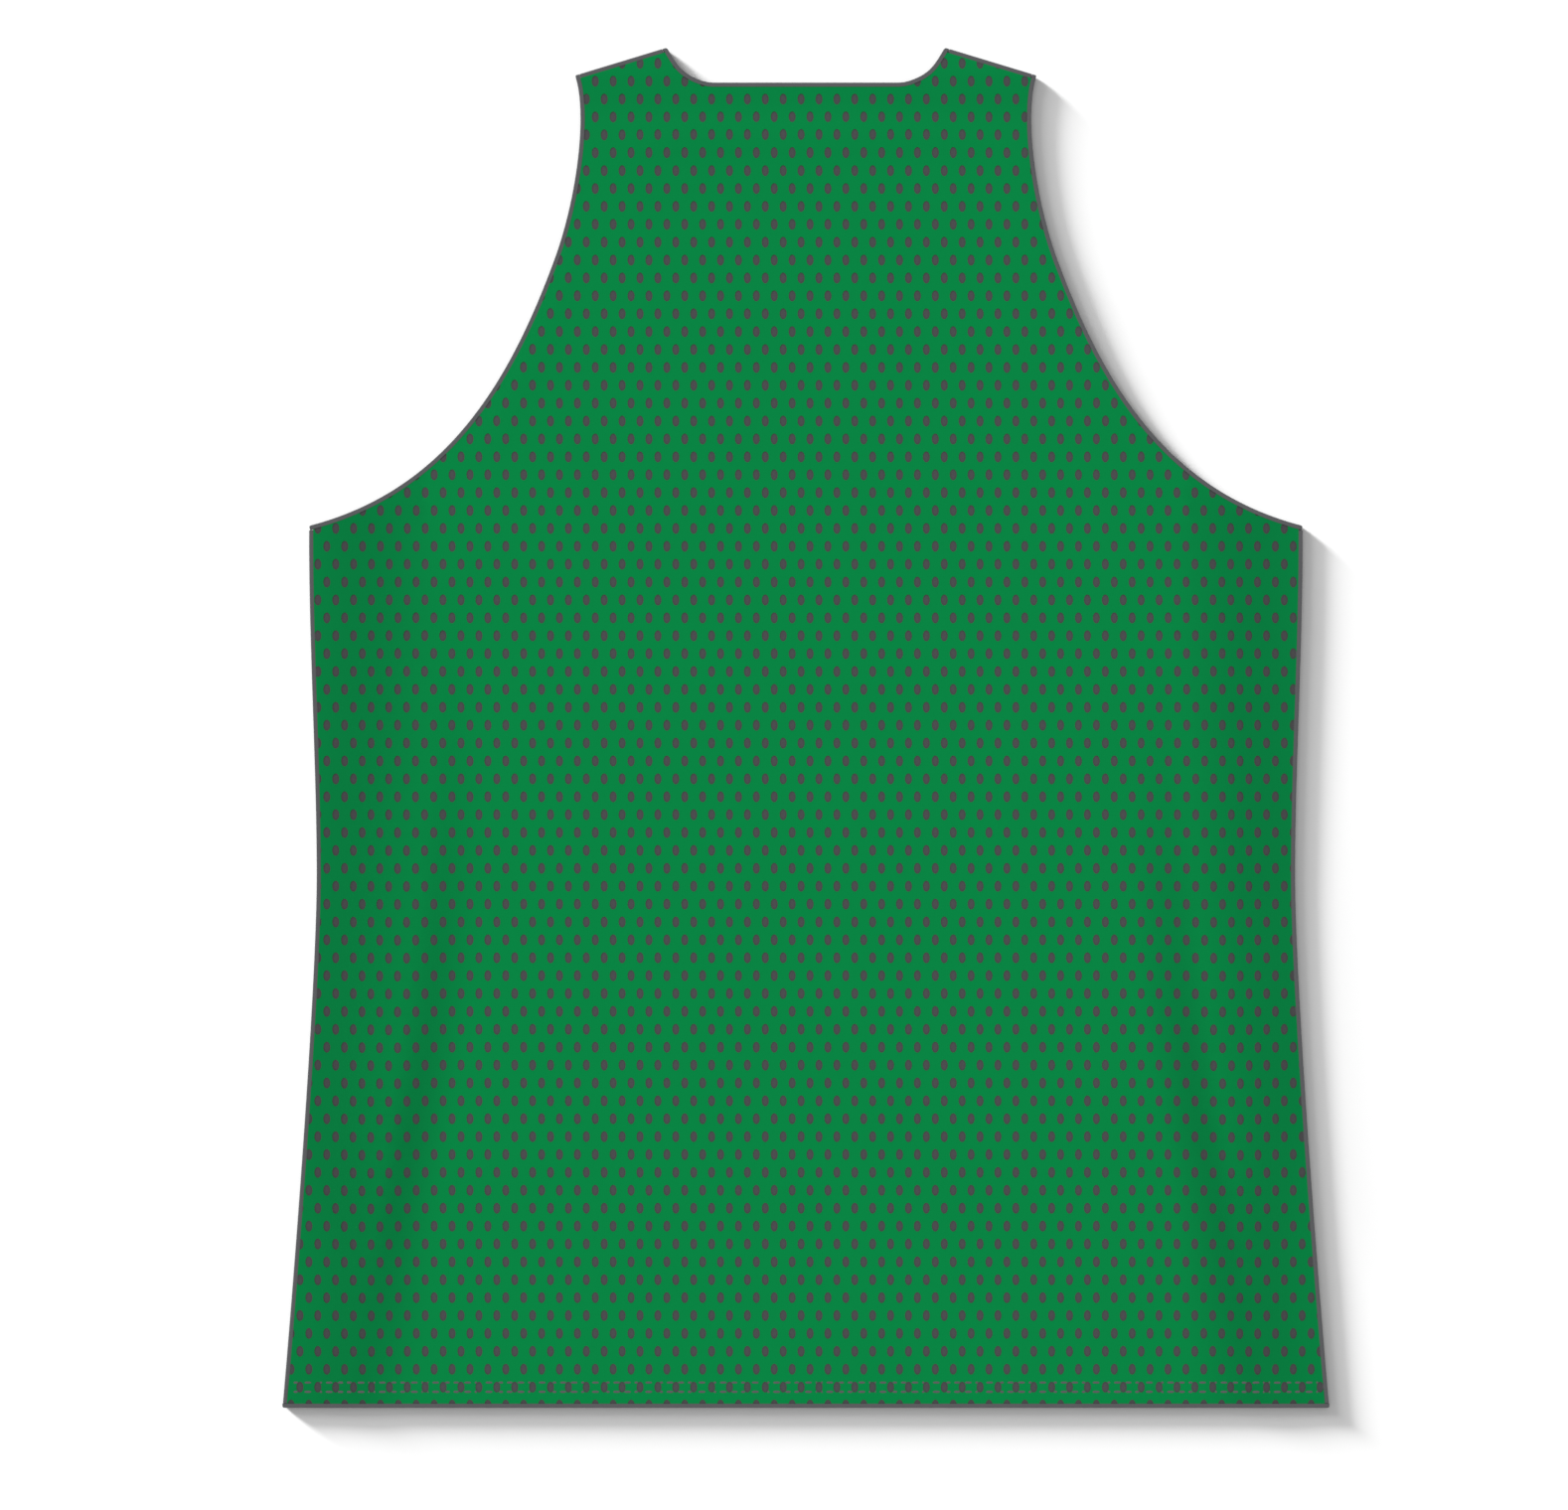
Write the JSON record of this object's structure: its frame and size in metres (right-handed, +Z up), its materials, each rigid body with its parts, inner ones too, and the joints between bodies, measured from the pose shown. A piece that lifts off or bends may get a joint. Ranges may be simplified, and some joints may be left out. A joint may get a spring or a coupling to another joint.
{
  "type": "basketball jersey",
  "caption": "Sleeveless team jersey in eyelet mesh, laid flat with its back up, with a shallow back neck, deep armholes, a flared hem and narrow bound edges.",
  "frame": {"origin": "middle of the garment's outline, on the surface that it lies on", "axes": "+Y from the hem towards the neck, +X to the right as seen from above with the back up, +Z up"},
  "size_m": [0.5864, 0.7618, 0.0086],
  "materials": {
    "green_mesh": "knitted eyelet mesh, slight sheen",
    "charcoal_ply": "smooth knit that shows through the eyelets",
    "charcoal_trim": "folded binding and piping, matte",
    "charcoal_thread": "twisted sewing thread"
  },
  "bodies": {
    "root": {"back_panel": "green_mesh", "front_panel": "green_mesh", "neck_binding": "charcoal_trim", "armhole_binding_left": "charcoal_trim", "armhole_binding_right": "charcoal_trim", "hem_binding": "charcoal_trim", "side_piping_left": "charcoal_trim", "side_piping_right": "charcoal_trim", "shoulder_piping_left": "charcoal_trim", "shoulder_piping_right": "charcoal_trim"}
  },
  "joints": []
}
